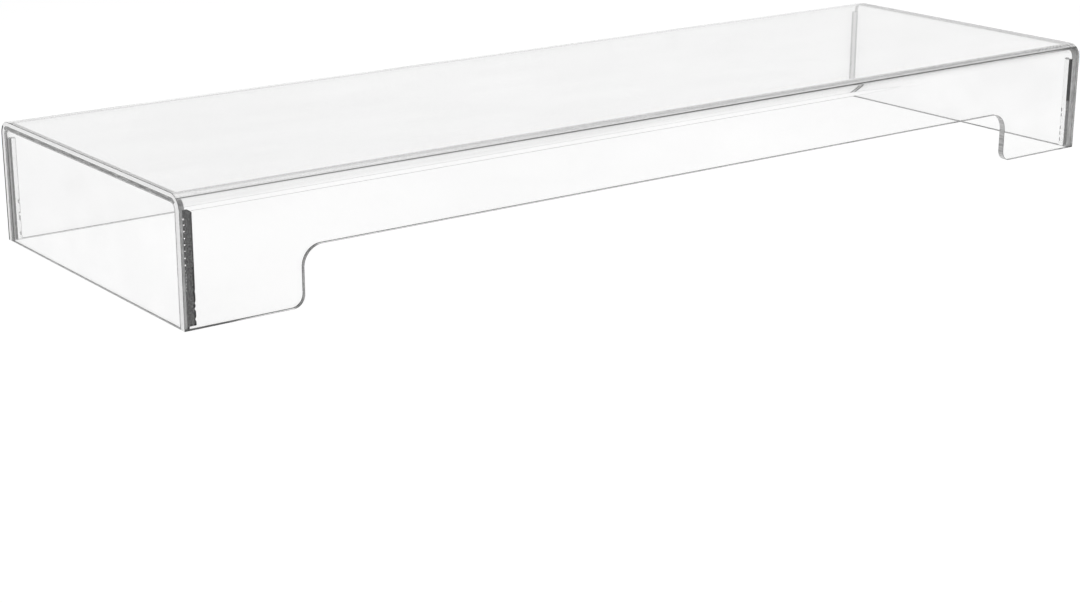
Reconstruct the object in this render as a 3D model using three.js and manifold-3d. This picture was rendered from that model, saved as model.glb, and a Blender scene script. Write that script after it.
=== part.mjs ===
// Monitor riser stand in clear acrylic sheet, standing on its open underside.
//
// One sheet is line-bent along its two long edges into a low arch: the flat top, the front skirt
// with a long notch in it, and the full back skirt. A flat panel closes each end. It sits inside the
// arch, flush with the ends of the sheet, on a thin film of adhesive. A slim dark bonding strip
// stands in each of the four upright inside corners, between the end panel and the skirt.
//
// Millimetres. X runs to the right along the front, Y to the back and Z up.
// The origin is on the ground, in the middle of the footprint.

import * as THREE from "three";
import { mergeVertices } from "three/addons/utils/BufferGeometryUtils.js";
import Module from "manifold-3d";

// Driving dimensions
const LENGTH = 480;
const DEPTH = 150;
const HEIGHT = 50;
const SHEET = 3;
const BEND_RADIUS = 6; // outside of the bend, so the inside is one sheet less
const NOTCH_WIDTH = 380;
const NOTCH_HEIGHT = 23;
const NOTCH_RADIUS = 8; // the two inside corners at the top of the notch
const FOOT_RADIUS = 5; // the two outside corners where the notch meets the ground
const FILM = 0.3; // adhesive between an end panel and the bent sheet
const STRIP_WIDTH = 2.8;
const STRIP_ROUNDING = 1; // on the strip's one free long edge
const STRIP_FOOT_GAP = 1; // the strip stops just above the ground
const STRIP_TOP_GAP = 1; // and just below the start of the bend

// Steps in a quarter circle
const BEND_STEPS = 16;
const NOTCH_STEPS = 14;
const STRIP_STEPS = 6;

const CUTTER_MARGIN = 2; // how far a cutting tool reaches past the faces it cuts

// Points of a quarter circle about a centre, from one angle to another, in degrees
function quarter(centreX, centreY, radius, fromDegrees, toDegrees, steps) {
  const from = THREE.MathUtils.degToRad(fromDegrees);
  const to = THREE.MathUtils.degToRad(toDegrees);
  const arc = new THREE.EllipseCurve(centreX, centreY, radius, radius, from, to, to < from);
  return arc.getPoints(steps);
}

// The arch in the Y-Z plane, a given depth in from the outside of the bent sheet
function arch(inset) {
  const radius = BEND_RADIUS - inset;
  const side = DEPTH / 2 - BEND_RADIUS;
  const spring = HEIGHT - BEND_RADIUS;
  return [
    new THREE.Vector2(-side - radius, 0),
    ...quarter(-side, spring, radius, 180, 90, BEND_STEPS),
    ...quarter(side, spring, radius, 90, 0, BEND_STEPS),
    new THREE.Vector2(side + radius, 0),
  ];
}

// The strip between two such arches
function archBand(outerInset, innerInset) {
  return new THREE.Shape([...arch(outerInset), ...arch(innerInset).reverse()]);
}

// A Y-Z outline carried along X
function extrudeAlongX(shape, startX, length) {
  const turn = new THREE.Matrix4().makeBasis(
    new THREE.Vector3(0, 1, 0),
    new THREE.Vector3(0, 0, 1),
    new THREE.Vector3(1, 0, 0),
  );
  const geometry = new THREE.ExtrudeGeometry(shape, { depth: length, bevelEnabled: false });
  return geometry.applyMatrix4(turn).translate(startX, 0, 0);
}

// The notch in the X-Z plane: an upside-down tray whose mouth flares out round the two feet
function notchShape() {
  const half = NOTCH_WIDTH / 2;
  const inner = half - NOTCH_RADIUS;
  const inside = NOTCH_HEIGHT - NOTCH_RADIUS;
  const foot = half + FOOT_RADIUS;
  return new THREE.Shape([
    new THREE.Vector2(-foot, -CUTTER_MARGIN),
    ...quarter(-foot, FOOT_RADIUS, FOOT_RADIUS, 270, 360, NOTCH_STEPS),
    ...quarter(-inner, inside, NOTCH_RADIUS, 180, 90, NOTCH_STEPS),
    ...quarter(inner, inside, NOTCH_RADIUS, 90, 0, NOTCH_STEPS),
    ...quarter(foot, FOOT_RADIUS, FOOT_RADIUS, 180, 270, NOTCH_STEPS),
    new THREE.Vector2(foot, -CUTTER_MARGIN),
  ]);
}

// The notch as a tool that passes through the front skirt only
function notchTool() {
  const turn = new THREE.Matrix4().makeBasis(
    new THREE.Vector3(1, 0, 0),
    new THREE.Vector3(0, 0, 1),
    new THREE.Vector3(0, -1, 0),
  );
  const depth = SHEET + 2 * CUTTER_MARGIN;
  const geometry = new THREE.ExtrudeGeometry(notchShape(), { depth, bevelEnabled: false });
  return geometry.applyMatrix4(turn).translate(0, -DEPTH / 2 + SHEET + CUTTER_MARGIN, 0);
}

// Boolean cut of one closed geometry from another
const wasm = await Module();
wasm.setup();

function toManifold(geometry) {
  const bare = geometry.clone();
  bare.deleteAttribute("normal");
  bare.deleteAttribute("uv");
  const merged = mergeVertices(bare);
  const mesh = new wasm.Mesh({
    numProp: 3,
    vertProperties: new Float32Array(merged.attributes.position.array),
    triVerts: new Uint32Array(merged.index.array),
  });
  return new wasm.Manifold(mesh);
}

function cut(geometry, tool) {
  const result = toManifold(geometry).subtract(toManifold(tool)).getMesh();
  const cutGeometry = new THREE.BufferGeometry();
  cutGeometry.setAttribute("position", new THREE.BufferAttribute(result.vertProperties, 3));
  cutGeometry.setIndex(new THREE.BufferAttribute(result.triVerts, 1));
  cutGeometry.computeVertexNormals();
  return cutGeometry;
}

// Materials
function clearAcrylic() {
  return new THREE.MeshStandardMaterial({
    color: 0xf2f6f7,
    roughness: 0.04,
    metalness: 0,
    transparent: true,
    opacity: 0.3,
  });
}

function curedAdhesive() {
  return new THREE.MeshStandardMaterial({
    color: 0xd5d9da,
    roughness: 0.2,
    metalness: 0,
    transparent: true,
    opacity: 0.5,
  });
}

function darkStrip() {
  return new THREE.MeshStandardMaterial({ color: 0x1d1e20, roughness: 0.3, metalness: 0 });
}

// Sub-parts
function bentCover() {
  const sheet = extrudeAlongX(archBand(0, SHEET), -LENGTH / 2, LENGTH);
  const mesh = new THREE.Mesh(cut(sheet, notchTool()), clearAcrylic());
  mesh.name = "bent_cover";
  return mesh;
}

function endPanel(name, startX) {
  const outline = new THREE.Shape(arch(SHEET + FILM));
  const mesh = new THREE.Mesh(extrudeAlongX(outline, 0, SHEET), clearAcrylic());
  mesh.name = name;
  mesh.position.x = startX;
  return mesh;
}

function adhesiveFilm(name, startX) {
  const band = archBand(SHEET, SHEET + FILM);
  const mesh = new THREE.Mesh(extrudeAlongX(band, 0, SHEET), curedAdhesive());
  mesh.name = name;
  mesh.position.x = startX;
  return mesh;
}

// A square strip standing in the corner of a skirt and an end panel.
// sideX and sideY are -1 or 1, and quarterTurns faces the strip into the box.
function bondingStrip(name, sideX, sideY, quarterTurns) {
  const centre = STRIP_WIDTH - STRIP_ROUNDING;
  const section = new THREE.Shape([
    new THREE.Vector2(0, 0),
    new THREE.Vector2(STRIP_WIDTH, 0),
    ...quarter(centre, centre, STRIP_ROUNDING, 0, 90, STRIP_STEPS),
    new THREE.Vector2(0, STRIP_WIDTH),
  ]);
  const depth = HEIGHT - BEND_RADIUS - STRIP_TOP_GAP - STRIP_FOOT_GAP;
  const geometry = new THREE.ExtrudeGeometry(section, { depth, bevelEnabled: false });
  geometry.rotateZ((quarterTurns * Math.PI) / 2);
  const mesh = new THREE.Mesh(geometry, darkStrip());
  mesh.name = name;
  mesh.position.set(sideX * (LENGTH / 2 - SHEET), sideY * (DEPTH / 2 - SHEET), STRIP_FOOT_GAP);
  return mesh;
}

const riser = new THREE.Group();
riser.add(bentCover());

const LEFT_END = -LENGTH / 2;
const RIGHT_END = LENGTH / 2 - SHEET;
riser.add(endPanel("left_end_panel", LEFT_END));
riser.add(endPanel("right_end_panel", RIGHT_END));
riser.add(adhesiveFilm("left_adhesive_film", LEFT_END));
riser.add(adhesiveFilm("right_adhesive_film", RIGHT_END));

riser.add(bondingStrip("front_left_bonding_strip", -1, -1, 0));
riser.add(bondingStrip("front_right_bonding_strip", 1, -1, 1));
riser.add(bondingStrip("back_right_bonding_strip", 1, 1, 2));
riser.add(bondingStrip("back_left_bonding_strip", -1, 1, 3));

export default riser;
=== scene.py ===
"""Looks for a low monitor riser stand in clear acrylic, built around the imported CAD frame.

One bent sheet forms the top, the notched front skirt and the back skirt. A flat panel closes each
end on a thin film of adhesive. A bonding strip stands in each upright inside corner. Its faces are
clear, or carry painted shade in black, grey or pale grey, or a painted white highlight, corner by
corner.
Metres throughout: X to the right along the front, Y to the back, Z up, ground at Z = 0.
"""

import math
import random

import bmesh
import bpy
from mathutils import Matrix, Vector, noise


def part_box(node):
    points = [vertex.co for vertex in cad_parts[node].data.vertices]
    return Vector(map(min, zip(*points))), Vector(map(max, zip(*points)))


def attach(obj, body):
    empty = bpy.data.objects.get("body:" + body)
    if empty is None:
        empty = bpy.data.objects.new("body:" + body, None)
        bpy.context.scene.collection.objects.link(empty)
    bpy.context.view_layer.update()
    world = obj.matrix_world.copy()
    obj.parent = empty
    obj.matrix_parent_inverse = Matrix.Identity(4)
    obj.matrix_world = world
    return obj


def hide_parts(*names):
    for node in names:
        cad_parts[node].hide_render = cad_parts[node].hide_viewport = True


MM = 0.001

# Shape of the stand, as in the CAD
BEND_RADIUS = 6 * MM
NOTCH_WIDTH = 380 * MM
NOTCH_HEIGHT = 23 * MM
NOTCH_RADIUS = 8 * MM
FOOT_RADIUS = 5 * MM
STRIP_ROUNDING = 1 * MM  # on the free long edge of a bonding strip

# Steps in a quarter circle
BEND_STEPS = 32
NOTCH_STEPS = 24
ROUNDING_STEPS = 6

# Small things that show in clear sheet
EDGE_BREAK = 0.16 * MM  # the rounding on every cut edge, with scrape marks and dark with painted shade
EDGE_BREAK_STEPS = 3
SHARP_EDGE = math.radians(40)  # edges sharper than this are broken
FLAT_FACE_WEIGHT = 100  # keeps the broad faces flat in the shading
MERGE_DISTANCE = 1e-7  # points closer than this become one
AIR_GAP = 0.01 * MM  # between two faces that touch but aren't wetted
WETTING = 0.01 * MM  # how far the adhesive reaches into what it is bonded to
DULL_SLOPE = 0.3  # the notch's edge is left dull, grey with painted shade, where it climbs more steeply than this
PAINTED_SHADE_BAND = 1.3 * MM  # how far up the left cut end of the top its band of painted shade reaches from the underside
DARK_RIM = 1 * MM  # the dark line of painted shade down the outside of the back skirt's left cut end
SHADE_DEPTH = 0.9 * MM  # how far into the left joint the film carries the strips' painted shade

# Material slots of the bent sheet; all but the clear and milky carry painted shade
CLEAR, SHADED_SAW_CUT, MILKY, PAINTED_SHADE_BANDED, DARK, SHADED_SCRAPE = range(6)
# Material slots of an end panel: its broad faces, its cut edges and the breaks between them
BROAD, CUT, BREAK = range(3)
# Material slots of an adhesive film
FRONT, TOP, BACK = range(3)
# Material slots of a bonding strip, one for each kind of face
FREE, FACET, ROUNDING, DRY, WET, ON_PANEL, BUBBLE = range(7)

# The bonding strips. Places along a strip are shares of its height, and those across it of its width.
STRIP_RINGS = 160  # steps along a strip
STRIP_FACET = 0.6 * MM  # on the two long edges beside the rounding
STRIP_WOBBLE = 0.02
STRIP_BITES = 5  # small chips out of the edge that lies on the skirt
BITE_PLACES = (0.05, 0.45)
BITE_DEPTHS = (0.06, 0.16)
BITE_SHARPNESS = 70  # more makes a chip shorter along the strip
STRIP_SHARP_EDGE = math.radians(35)
RAGGED = 0.25  # unevenness of the wetted line
WET_LINE = 0.74  # at the front left it wets the skirt from here to its free edge
WET_LINE_TOP = 0.55  # and from its foot up to here
WET_BAND = 0.9  # at the front right it wets the skirt from the panel to here
WET_BAND_FOOT = 0.52  # and from here up to its top
WET_BAND_RAGGED = 0.3  # how much of the unevenness shows on the band

# The bubbles in a joint. The first six are in millimetres, and each pair is a range.
BUBBLES_FROM_TOP = 2.2
LARGE_RADIUS = (0.24, 0.34)
LARGE_SPACING = (1.7, 2.7)
SMALL_RADIUS = (0.15, 0.2)
SMALL_SPACING = (1.0, 1.4)
BUBBLE_OFFSET = (0.4, 0.6)  # from the face of the panel into the joint
BUBBLES_END = 0.3  # share of the strip's height, below which there are none
BUBBLE_STRETCH = (1, 0.2, 1.25)  # along X, Y and Z

NOISE_SPAN = (0.36, 0.66)  # most of the noise in a material lies between these

# Clear plastics
ACRYLIC_IOR = 1.49
ADHESIVE_IOR = 1.47

# The studio
FLOOR_GAP = 0.1 * MM
FLOOR_REACH = 8
FLOOR_GREY = 0.2
POOL_CENTRE = (0.15, -0.25, 0)
POOL_RADIUS = 1.2
POOL_GLOW = 0.96
FLOOR_GLOW = 0.87
SKY_SHADES = (  # height of the sky from the horizon up, and its grey
    (0.0, 1.0),
    (0.3, 0.88),
    (0.42, 0.6),
    (0.5, 0.36),
    (0.56, 0.22),
    (0.6, 0.08),
    (0.67, 0.06),
    (0.76, 0.4),
    (0.86, 0.8),
    (1.0, 0.9),
)

# The camera, at the viewing angle of the picture. Its lens and sensor are in millimetres.
CAMERA_PLACE = (-0.5814, -0.7352, 0.2425)
CAMERA_AIM = (-0.1209, -0.1267, 0.0023)
CAMERA_ROLL = math.radians(0.21)
CAMERA_LENS = 72.37
CAMERA_SENSOR = 36
CAMERA_RANGE = 50

BOUNCES = 128  # light crosses many faces inside clear sheet

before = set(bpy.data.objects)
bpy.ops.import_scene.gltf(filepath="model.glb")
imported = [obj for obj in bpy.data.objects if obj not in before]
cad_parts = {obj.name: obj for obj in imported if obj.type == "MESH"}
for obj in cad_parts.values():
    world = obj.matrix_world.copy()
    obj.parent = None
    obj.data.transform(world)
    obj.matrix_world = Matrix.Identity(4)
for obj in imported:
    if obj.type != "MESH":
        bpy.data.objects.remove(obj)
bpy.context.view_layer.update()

_, cover_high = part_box("bent_cover")
panel_low, panel_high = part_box("left_end_panel")
SHEET = panel_high.x - panel_low.x
FILM = cover_high.z - SHEET - panel_high.z
HALF_LENGTH = cover_high.x
HALF_DEPTH = cover_high.y
HEIGHT = cover_high.z


# ---------------------------------------------------------------- outlines
def quarter(centre_a, centre_b, radius, from_degrees, to_degrees, steps):
    """Points of an arc in a plane, ends included."""
    points = []
    for step in range(steps + 1):
        turn = math.radians(from_degrees + (to_degrees - from_degrees) * step / steps)
        points.append((centre_a + radius * math.cos(turn), centre_b + radius * math.sin(turn)))
    return points


def arch(inset):
    """The arch in the Y-Z plane, a given depth in from the outside of the bent sheet."""
    radius = BEND_RADIUS - inset
    side = HALF_DEPTH - BEND_RADIUS
    spring = HEIGHT - BEND_RADIUS
    points = [(-side - radius, 0)]
    points += quarter(-side, spring, radius, 180, 90, BEND_STEPS)
    points += quarter(side, spring, radius, 90, 0, BEND_STEPS)
    points.append((side + radius, 0))
    return points


def skirt_hem():
    """The lower outline of the front skirt in the X-Z plane, from the left end to the right."""
    half = NOTCH_WIDTH / 2
    inner = half - NOTCH_RADIUS
    inside = NOTCH_HEIGHT - NOTCH_RADIUS
    foot = half + FOOT_RADIUS
    points = [(-HALF_LENGTH, 0.0)]
    points += quarter(-foot, FOOT_RADIUS, FOOT_RADIUS, 270, 360, NOTCH_STEPS)
    points += quarter(-inner, inside, NOTCH_RADIUS, 180, 90, NOTCH_STEPS)
    points += quarter(inner, inside, NOTCH_RADIUS, 90, 0, NOTCH_STEPS)
    points += quarter(foot, FOOT_RADIUS, FOOT_RADIUS, 180, 270, NOTCH_STEPS)
    points.append((HALF_LENGTH, 0.0))
    return points


# ---------------------------------------------------------------- meshes
def make_object(name, mesh, materials):
    piece = bpy.data.objects.new(name, mesh)
    bpy.context.scene.collection.objects.link(piece)
    for material in materials:
        piece.data.materials.append(material)
    return piece


def break_edges(piece, slot):
    """Rounds the sharp edges a little and keeps the flat faces flat in the shading."""
    bevel = piece.modifiers.new("edge break", "BEVEL")
    bevel.width = EDGE_BREAK
    bevel.segments = EDGE_BREAK_STEPS
    bevel.limit_method = "ANGLE"
    bevel.angle_limit = SHARP_EDGE
    bevel.material = slot
    weighted = piece.modifiers.new("flat faces", "WEIGHTED_NORMAL")
    weighted.mode = "FACE_AREA"
    weighted.weight = FLAT_FACE_WEIGHT
    weighted.keep_sharp = False
    piece.data.polygons.foreach_set("use_smooth", [True] * len(piece.data.polygons))


def finish_mesh(name, shell, materials):
    """Merges points that meet, turns the faces outwards and makes an object of them."""
    bmesh.ops.remove_doubles(shell, verts=shell.verts, dist=MERGE_DISTANCE)
    bmesh.ops.recalc_face_normals(shell, faces=shell.faces)
    mesh = bpy.data.meshes.new(name)
    shell.to_mesh(mesh)
    shell.free()
    return make_object(name, mesh, materials)


def cut_end(face, x, lines, slot):
    """A cut end of the sheet, between arches of growing inset.

    slot(ring, step) names the material, at a step along the arch and between two of the lines.
    """
    for ring, (far, near) in enumerate(zip(lines, lines[1:])):
        for step in range(len(far) - 1):
            corners = (far[step], far[step + 1], near[step + 1], near[step])
            face(*[(x, y, z) for y, z in corners]).material_index = slot(ring, step)


def left_end_slot(ring, step):
    """Milky, with painted shade in a band under the top and in a line down the outer rim at the back.
    """
    front_bend_middle = BEND_STEPS // 2
    back_bend_middle = front_bend_middle + BEND_STEPS + 1
    outer_ring, inner_ring = 0, 2
    if ring == inner_ring and front_bend_middle < step <= back_bend_middle:
        return PAINTED_SHADE_BANDED
    if ring == outer_ring and step > back_bend_middle:
        return DARK
    return MILKY


def right_end_slot(_ring, _step):
    """Clear all over."""
    return CLEAR


def bent_cover(materials):
    """The bent sheet: the arch carried along X, with the notch in its front skirt."""
    shell = bmesh.new()
    outer = arch(0)
    inner = arch(SHEET)
    hem = skirt_hem()

    def face(*corners):
        return shell.faces.new([shell.verts.new(corner) for corner in corners])

    for wall in (outer, inner):
        front_y = wall[0][0]
        spring_z = wall[1][1]
        skirt = [(x, front_y, z) for x, z in hem]
        face(*skirt, (HALF_LENGTH, front_y, spring_z), (-HALF_LENGTH, front_y, spring_z))
        for (y0, z0), (y1, z1) in zip(wall[1:], wall[2:]):
            face(
                (-HALF_LENGTH, y0, z0),
                (HALF_LENGTH, y0, z0),
                (HALF_LENGTH, y1, z1),
                (-HALF_LENGTH, y1, z1),
            )
    cut_end(face, -HALF_LENGTH, [outer, arch(DARK_RIM), arch(SHEET - PAINTED_SHADE_BAND), inner], left_end_slot)
    cut_end(face, HALF_LENGTH, [outer, inner], right_end_slot)
    front_out, front_in = outer[0][0], inner[0][0]
    for (x0, z0), (x1, z1) in zip(hem, hem[1:]):
        cut = face((x0, front_out, z0), (x1, front_out, z1), (x1, front_in, z1), (x0, front_in, z0))
        if abs(z1 - z0) > abs(x1 - x0) * DULL_SLOPE:
            cut.material_index = SHADED_SAW_CUT
    back_out, back_in = outer[-1][0], inner[-1][0]
    face(
        (-HALF_LENGTH, back_out, 0),
        (HALF_LENGTH, back_out, 0),
        (HALF_LENGTH, back_in, 0),
        (-HALF_LENGTH, back_in, 0),
    )
    piece = finish_mesh("clear_bent_cover", shell, materials)
    break_edges(piece, SHADED_SCRAPE)
    return piece


def slab(name, outline, low_x, high_x, materials):
    """A Y-Z outline carried from one X to another."""
    shell = bmesh.new()
    near = [shell.verts.new((low_x, y, z)) for y, z in outline]
    far = [shell.verts.new((high_x, y, z)) for y, z in outline]
    shell.faces.new(near)
    shell.faces.new(far)
    for index in range(len(outline)):
        after = (index + 1) % len(outline)
        shell.faces.new((near[index], near[after], far[after], far[index]))
    return finish_mesh(name, shell, materials)


def end_panel(name, low_x, materials):
    """A flat panel inside the arch."""
    piece = slab(name, arch(SHEET + FILM), low_x, low_x + SHEET, materials)
    for polygon in piece.data.polygons:
        polygon.material_index = BROAD if abs(polygon.normal.x) > 0.5 else CUT
    break_edges(piece, BREAK)
    return piece


def adhesive_film(name, low_x, high_x, materials):
    """The adhesive round a panel: wetted to the panel and a hair away from the bent sheet."""
    outline = arch(SHEET + AIR_GAP) + arch(SHEET + FILM + WETTING)[::-1]
    piece = slab(name, outline, low_x, high_x, materials)
    spring = HEIGHT - BEND_RADIUS
    for polygon in piece.data.polygons:
        if polygon.center.z > spring:
            polygon.material_index = TOP
        elif polygon.center.y > 0:
            polygon.material_index = BACK
        else:
            polygon.material_index = FRONT
    return piece


def strip_section(width, reach, wet, dry):
    """Outline of a bonding strip seen along Z, as (from the panel, from the skirt, face kind).

    It keeps a hair of air to both, except that it wets the skirt between the two distances in wet.
    Where those two are equal, the wetted step has no width. The kind belongs to the side that starts
    at the point. Nothing lies further out than reach.
    """
    free = width - STRIP_ROUNDING
    broken = width - STRIP_FACET
    wet_low, wet_high = (min(edge, reach) for edge in wet)
    rounding = quarter(free, free, STRIP_ROUNDING, 0, 90, ROUNDING_STEPS)[:-1]
    return [
        (AIR_GAP, AIR_GAP, dry),
        (wet_low, AIR_GAP, WET),
        (wet_low, -WETTING, WET),
        (wet_high, -WETTING, WET),
        (wet_high, AIR_GAP, dry),
        (min(broken, reach), AIR_GAP, FREE),
        (min(width, reach), STRIP_FACET, FREE),
        *[(min(u, reach), v, ROUNDING) for u, v in rounding],
        (free, width, FREE),
        (STRIP_FACET, width, FACET),
        (AIR_GAP, broken, ON_PANEL),
    ]


def bonding_strip(node, side_x, side_y, seed, wetted, materials):
    """A square strip in one upright corner, a little uneven and chipped, with trapped bubbles.

    wetted(share, ragged) says, at a share of the height, between which shares of its width the strip
    wets the skirt, and the kind of the faces beside that.
    """
    low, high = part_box(f"{node}_bonding_strip")
    width = high.x - low.x
    corner = Vector((side_x * (HALF_LENGTH - SHEET), side_y * (HALF_DEPTH - SHEET), 0))
    draw = random.Random(seed)
    bites = [(draw.uniform(*BITE_PLACES), draw.uniform(*BITE_DEPTHS)) for _ in range(STRIP_BITES)]
    shell = bmesh.new()
    rings = []
    for ring in range(STRIP_RINGS + 1):
        share = ring / STRIP_RINGS
        z = low.z + (high.z - low.z) * share
        wobble = STRIP_WOBBLE * noise.noise(Vector((seed, 0, z / MM)))
        bite = sum(depth * math.exp(-(((share - at) * BITE_SHARPNESS) ** 2)) for at, depth in bites)
        reach = width * (1 + min(wobble, 0) - bite)
        ragged = RAGGED * noise.noise(Vector((0, seed, z / MM)))
        wet_low, wet_high, dry = wetted(share, ragged)
        section = strip_section(width, reach, (wet_low * width, wet_high * width), dry)
        verts = [shell.verts.new(corner + Vector((-side_x * u, -side_y * v, z))) for u, v, _ in section]
        rings.append((verts, [kind for _, _, kind in section]))
    for (lower, kinds), (upper, _) in zip(rings, rings[1:]):
        for index, kind in enumerate(kinds):
            after = (index + 1) % len(kinds)
            side = shell.faces.new((lower[index], lower[after], upper[after], upper[index]))
            side.material_index = kind
    for verts, _ in (rings[0], rings[-1]):
        shell.faces.new(verts)
    bmesh.ops.recalc_face_normals(shell, faces=shell.faces)
    add_bubbles(shell, corner, side_x, low.z, high.z, draw)
    mesh = bpy.data.meshes.new(f"{node}_strip")
    shell.to_mesh(mesh)
    shell.free()
    mesh.polygons.foreach_set("use_smooth", [True] * len(mesh.polygons))
    mesh.set_sharp_from_angle(angle=STRIP_SHARP_EDGE)
    return make_object(f"{node}_strip", mesh, materials)


def add_bubbles(shell, corner, side_x, low_z, high_z, draw):
    """A column of flat air bubbles in the joint, large at the top, small and close further down."""
    z = high_z - BUBBLES_FROM_TOP * MM
    while z > low_z + BUBBLES_END * (high_z - low_z):
        if z > (low_z + high_z) / 2:
            radius = draw.uniform(*LARGE_RADIUS) * MM
            spacing = draw.uniform(*LARGE_SPACING) * MM
        else:
            radius = draw.uniform(*SMALL_RADIUS) * MM
            spacing = draw.uniform(*SMALL_SPACING) * MM
        centre = corner + Vector((side_x * draw.uniform(*BUBBLE_OFFSET) * MM, 0, z))
        flatten = Matrix.Diagonal((*BUBBLE_STRETCH, 1))
        before = len(shell.faces)
        spot = Matrix.Translation(centre) @ flatten
        bmesh.ops.create_icosphere(shell, subdivisions=2, radius=radius, matrix=spot)
        shell.faces.ensure_lookup_table()
        for face in shell.faces[before:]:
            face.material_index = BUBBLE
        z -= spacing


# ---------------------------------------------------------------- materials
def new_material(name):
    material = bpy.data.materials.new(name)
    material.use_nodes = True
    tree = material.node_tree
    shader = tree.nodes["Principled BSDF"]
    return material, tree, shader


def speckle(tree, stretch, detail):
    """Noise in the piece's own space. stretch is the noise's scale per metre along X, Y and Z."""
    space = tree.nodes.new("ShaderNodeTexCoord")
    scaled = tree.nodes.new("ShaderNodeMapping")
    scaled.inputs["Scale"].default_value = stretch
    grain = tree.nodes.new("ShaderNodeTexNoise")
    grain.inputs["Scale"].default_value = 1
    grain.inputs["Detail"].default_value = detail
    tree.links.new(space.outputs["Object"], scaled.inputs["Vector"])
    tree.links.new(scaled.outputs["Vector"], grain.inputs["Vector"])
    return grain.outputs["Fac"]


def shade(tree, shader, grain, dark, light):
    """Colours the shader between two greys, following the noise."""
    greys = tree.nodes.new("ShaderNodeValToRGB")
    for element, position, grey in zip(greys.color_ramp.elements, NOISE_SPAN, (dark, light)):
        element.position = position
        element.color = (grey, grey, grey, 1)
    tree.links.new(grain, greys.inputs["Fac"])
    tree.links.new(greys.outputs["Color"], shader.inputs["Base Color"])


def roughen(tree, shader, grain, distance):
    """Tiny bumps that follow the noise."""
    bump = tree.nodes.new("ShaderNodeBump")
    bump.inputs["Strength"].default_value = 1
    bump.inputs["Distance"].default_value = distance
    tree.links.new(grain, bump.inputs["Height"])
    tree.links.new(bump.outputs["Normal"], shader.inputs["Normal"])


def set_plastic(shader, transmission, ior, roughness):
    shader.inputs["Transmission Weight"].default_value = transmission
    shader.inputs["IOR"].default_value = ior
    shader.inputs["Roughness"].default_value = roughness


def clear_acrylic(name):
    """Clear and polished, with faint wipe marks along its length."""
    material, tree, shader = new_material(name)
    wipes = speckle(tree, stretch=(14, 45, 45), detail=3)
    shade(tree, shader, wipes, dark=0.925, light=0.955)
    set_plastic(shader, transmission=1, ior=ACRYLIC_IOR, roughness=0)
    return material


def cloudy_adhesive(name):
    """Cured adhesive: cloudy white with grey streaks across it."""
    material, tree, shader = new_material(name)
    clouds = speckle(tree, stretch=(700, 260, 260), detail=4)
    shade(tree, shader, clouds, dark=0.6, light=0.98)
    set_plastic(shader, transmission=0.25, ior=ADHESIVE_IOR, roughness=0.3)
    return material


def shaded_saw_cut_wall(name):
    """The dull wall of the notch: saw marks across the sheet, grey with painted shade."""
    material, tree, shader = new_material(name)
    marks = speckle(tree, stretch=(1600, 90, 1600), detail=3)
    shade(tree, shader, marks, dark=0.32, light=0.58)
    roughen(tree, shader, marks, distance=0.03 * MM)
    set_plastic(shader, transmission=0.1, ior=ACRYLIC_IOR, roughness=0.35)
    return material


def milky_face(name):
    """A sanded cut face: milky, so that it looks white."""
    material, tree, shader = new_material(name)
    grain = speckle(tree, stretch=(400, 120, 900), detail=3)
    shade(tree, shader, grain, dark=0.94, light=1.0)
    set_plastic(shader, transmission=0.1, ior=ACRYLIC_IOR, roughness=0.3)
    return material


def painted_shade_band_face(name):
    """A band of painted shade on a cut end: grey and streaky."""
    material, tree, shader = new_material(name)
    streaks = speckle(tree, stretch=(400, 160, 2200), detail=4)
    shade(tree, shader, streaks, dark=0.1, light=0.4)
    roughen(tree, shader, streaks, distance=0.03 * MM)
    set_plastic(shader, transmission=0.1, ior=ACRYLIC_IOR, roughness=0.25)
    return material


def shaded_scrape_edge(name):
    """The narrow rounding on an edge: fine scrape marks, painted shade, and little light gets through.
    """
    material, tree, shader = new_material(name)
    marks = speckle(tree, stretch=(900, 900, 900), detail=3)
    shade(tree, shader, marks, dark=0.08, light=0.22)
    roughen(tree, shader, marks, distance=0.03 * MM)
    set_plastic(shader, transmission=0.2, ior=ACRYLIC_IOR, roughness=0.35)
    return material


def painted_shade_and_highlight(name, dark, light):
    """Painted shade, or a painted highlight when light, on a strip's faces: mottled between two greys.
    """
    material, tree, shader = new_material(name)
    grain = speckle(tree, stretch=(1500, 1500, 1100), detail=4)
    shade(tree, shader, grain, dark, light)
    roughen(tree, shader, grain, distance=0.05 * MM)
    shader.inputs["Roughness"].default_value = 0.4
    shader.inputs["Specular IOR Level"].default_value = 0.1
    return material


def silvery_bubble(name):
    """The mirror-like skin of an air bubble, with faint cloudy spots."""
    material, tree, shader = new_material(name)
    spots = speckle(tree, stretch=(4000, 4000, 4000), detail=2)
    shade(tree, shader, spots, dark=0.85, light=0.98)
    shader.inputs["Metallic"].default_value = 1
    shader.inputs["Roughness"].default_value = 0.15
    return material


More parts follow.
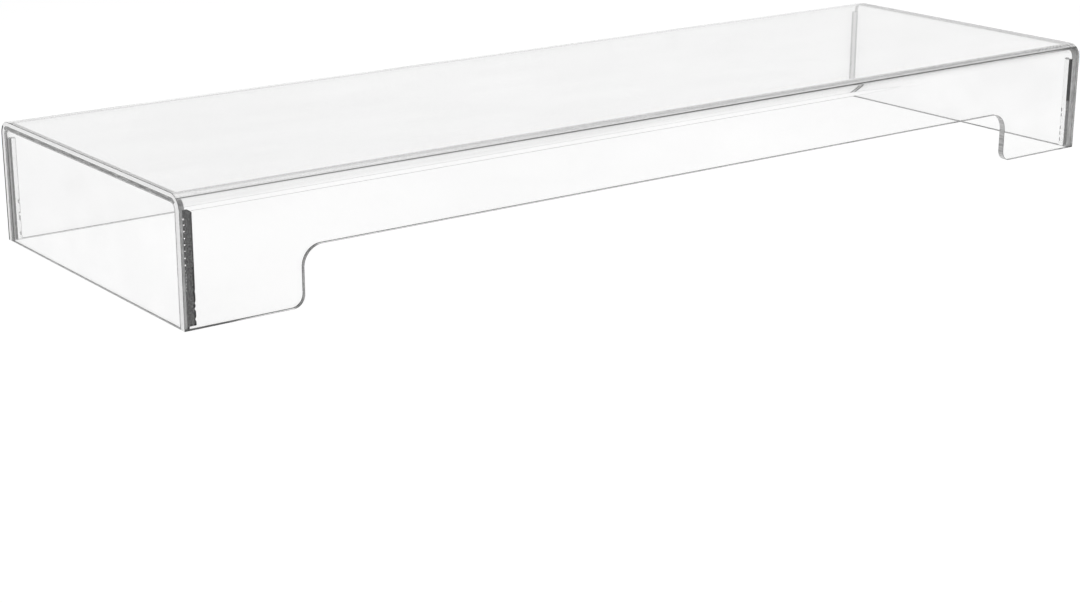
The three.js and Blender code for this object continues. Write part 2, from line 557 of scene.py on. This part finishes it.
# ---------------------------------------------------------------- stage
def studio_floor():
    """A pale floor with a soft, bright pool of light round the stand."""
    mesh = bpy.data.meshes.new("floor")
    corners = [(-FLOOR_REACH, -FLOOR_REACH), (FLOOR_REACH, -FLOOR_REACH)]
    corners += [(FLOOR_REACH, FLOOR_REACH), (-FLOOR_REACH, FLOOR_REACH)]
    mesh.from_pydata([(x, y, -FLOOR_GAP) for x, y in corners], [], [(0, 1, 2, 3)])
    material, tree, shader = new_material("floor")
    shader.inputs["Base Color"].default_value = (FLOOR_GREY, FLOOR_GREY, FLOOR_GREY, 1)
    shader.inputs["Roughness"].default_value = 1
    shader.inputs["Specular IOR Level"].default_value = 0
    shader.inputs["Emission Color"].default_value = (1, 1, 1, 1)
    space = tree.nodes.new("ShaderNodeTexCoord")
    distance = tree.nodes.new("ShaderNodeVectorMath")
    distance.operation = "DISTANCE"
    distance.inputs[1].default_value = POOL_CENTRE
    glow = tree.nodes.new("ShaderNodeMapRange")
    glow.interpolation_type = "SMOOTHSTEP"
    glow.inputs["From Min"].default_value = 0
    glow.inputs["From Max"].default_value = POOL_RADIUS
    glow.inputs["To Min"].default_value = POOL_GLOW
    glow.inputs["To Max"].default_value = FLOOR_GLOW
    tree.links.new(space.outputs["Object"], distance.inputs[0])
    tree.links.new(distance.outputs["Value"], glow.inputs["Value"])
    tree.links.new(glow.outputs["Result"], shader.inputs["Emission Strength"])
    make_object("floor", mesh, [material])


def studio_light():
    """A sky that is white near the horizon, with a dark ring higher up, the same all the way round."""
    world = bpy.data.worlds.new("studio")
    bpy.context.scene.world = world
    world.use_nodes = True
    tree = world.node_tree
    background = tree.nodes["Background"]
    space = tree.nodes.new("ShaderNodeTexCoord")
    split = tree.nodes.new("ShaderNodeSeparateXYZ")
    ramp = tree.nodes.new("ShaderNodeValToRGB")
    tree.links.new(space.outputs["Generated"], split.inputs["Vector"])
    tree.links.new(split.outputs["Z"], ramp.inputs["Fac"])
    tree.links.new(ramp.outputs["Color"], background.inputs["Color"])
    for _ in SKY_SHADES[2:]:
        ramp.color_ramp.elements.new(0.5)
    for element, (position, grey) in zip(ramp.color_ramp.elements, SKY_SHADES):
        element.position = position
        element.color = (grey, grey, grey, 1)


def camera():
    """Looks from the front left and above."""
    lens = bpy.data.cameras.new("camera")
    lens.lens = CAMERA_LENS
    lens.sensor_width = CAMERA_SENSOR
    lens.clip_end = CAMERA_RANGE
    viewer = bpy.data.objects.new("camera", lens)
    bpy.context.scene.collection.objects.link(viewer)
    eye = Vector(CAMERA_PLACE)
    level = (Vector(CAMERA_AIM) - eye).to_track_quat("-Z", "Y").to_matrix().to_4x4()
    viewer.matrix_world = Matrix.Translation(eye) @ level @ Matrix.Rotation(CAMERA_ROLL, 4, "Z")
    bpy.context.scene.camera = viewer


# ---------------------------------------------------------------- assembly
def hand_over(piece, node):
    """Attaches the piece to the root body and hides the CAD node that it stands for."""
    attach(piece, "root")
    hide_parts(node)


acrylic = clear_acrylic("clear acrylic")
shaded_saw_cut = shaded_saw_cut_wall("sawn wall")
milky = milky_face("milky cut face")
painted_shade_band = painted_shade_band_face("stained cut face")
shaded_scrape = shaded_scrape_edge("scraped edge")
cloudy = cloudy_adhesive("cloudy adhesive")
bubble = silvery_bubble("trapped bubble")
# Painted shade, from near-black to pale grey, on the strips, the cover's dark rim and the left joint
black = painted_shade_and_highlight("black painted shade", dark=0.008, light=0.18)
wet = painted_shade_and_highlight("darkest painted shade", dark=0.003, light=0.03)
grey = painted_shade_and_highlight("grey painted shade", dark=0.14, light=0.34)
pale = painted_shade_and_highlight("pale painted shade", dark=0.3, light=0.5)
# A painted highlight on the back right strip's edges and the back left strip's face on the panel
white = painted_shade_and_highlight("white painted highlight", dark=0.8, light=0.95)

cover = bent_cover([acrylic, shaded_saw_cut, milky, painted_shade_band, wet, shaded_scrape])
hand_over(cover, "bent_cover")

for side, shaded in (("left", SHADE_DEPTH), ("right", 0)):
    low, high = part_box(f"{side}_end_panel")
    panel = end_panel(f"clear_{side}_panel", low.x, [acrylic, milky, shaded_scrape])
    hand_over(panel, f"{side}_end_panel")
    film = adhesive_film(f"cloudy_{side}_film", low.x, high.x - shaded, [cloudy, cloudy, cloudy])
    hand_over(film, f"{side}_adhesive_film")
    # The innermost part of the left film carries painted shade, black at the front and darker at the
    # back.
    if shaded:
        film = adhesive_film(f"soaked_{side}_film", high.x - shaded, high.x, [black, cloudy, wet])
        hand_over(film, f"{side}_adhesive_film")


def wets_free_edge(share, ragged):
    """Wets the skirt in a narrow line along the free edge, over the lower half."""
    return (WET_LINE + ragged, 1, DRY) if share < WET_LINE_TOP else (1, 1, DRY)


def wets_beside_panel(share, ragged):
    """Wets most of the skirt beside the panel, over the upper half, where the rest is clear."""
    if share > WET_BAND_FOOT:
        return 0, WET_BAND + ragged * WET_BAND_RAGGED, FREE
    return 0, 0, DRY


def wets_nowhere(_share, _ragged):
    return 0, 0, DRY


# The strips' faces are clear acrylic or carry painted shade and painted highlights, set corner by
# corner.
# Corner, sides in X and Y, where the strip wets the skirt, and the materials of its kinds of face
corners = (
    ("front_left", -1, -1, wets_free_edge, [wet, black, wet, black, wet, black, bubble]),
    ("front_right", 1, -1, wets_beside_panel, [acrylic, acrylic, acrylic, grey, wet, acrylic, bubble]),
    ("back_right", 1, 1, wets_nowhere, [pale, white, white, pale, pale, pale, bubble]),
    ("back_left", -1, 1, wets_nowhere, [acrylic, wet, acrylic, acrylic, acrylic, white, bubble]),
)
for seed, (node, side_x, side_y, wetted, materials) in enumerate(corners, start=3):
    strip = bonding_strip(node, side_x, side_y, seed, wetted, materials)
    hand_over(strip, f"{node}_bonding_strip")

studio_floor()
studio_light()
camera()

view = bpy.context.scene.view_settings
view.view_transform = "Standard"
cycles = bpy.context.scene.cycles
cycles.max_bounces = BOUNCES
cycles.transmission_bounces = BOUNCES
cycles.glossy_bounces = BOUNCES
cycles.caustics_refractive = True
cycles.caustics_reflective = True
cycles.use_denoising = True
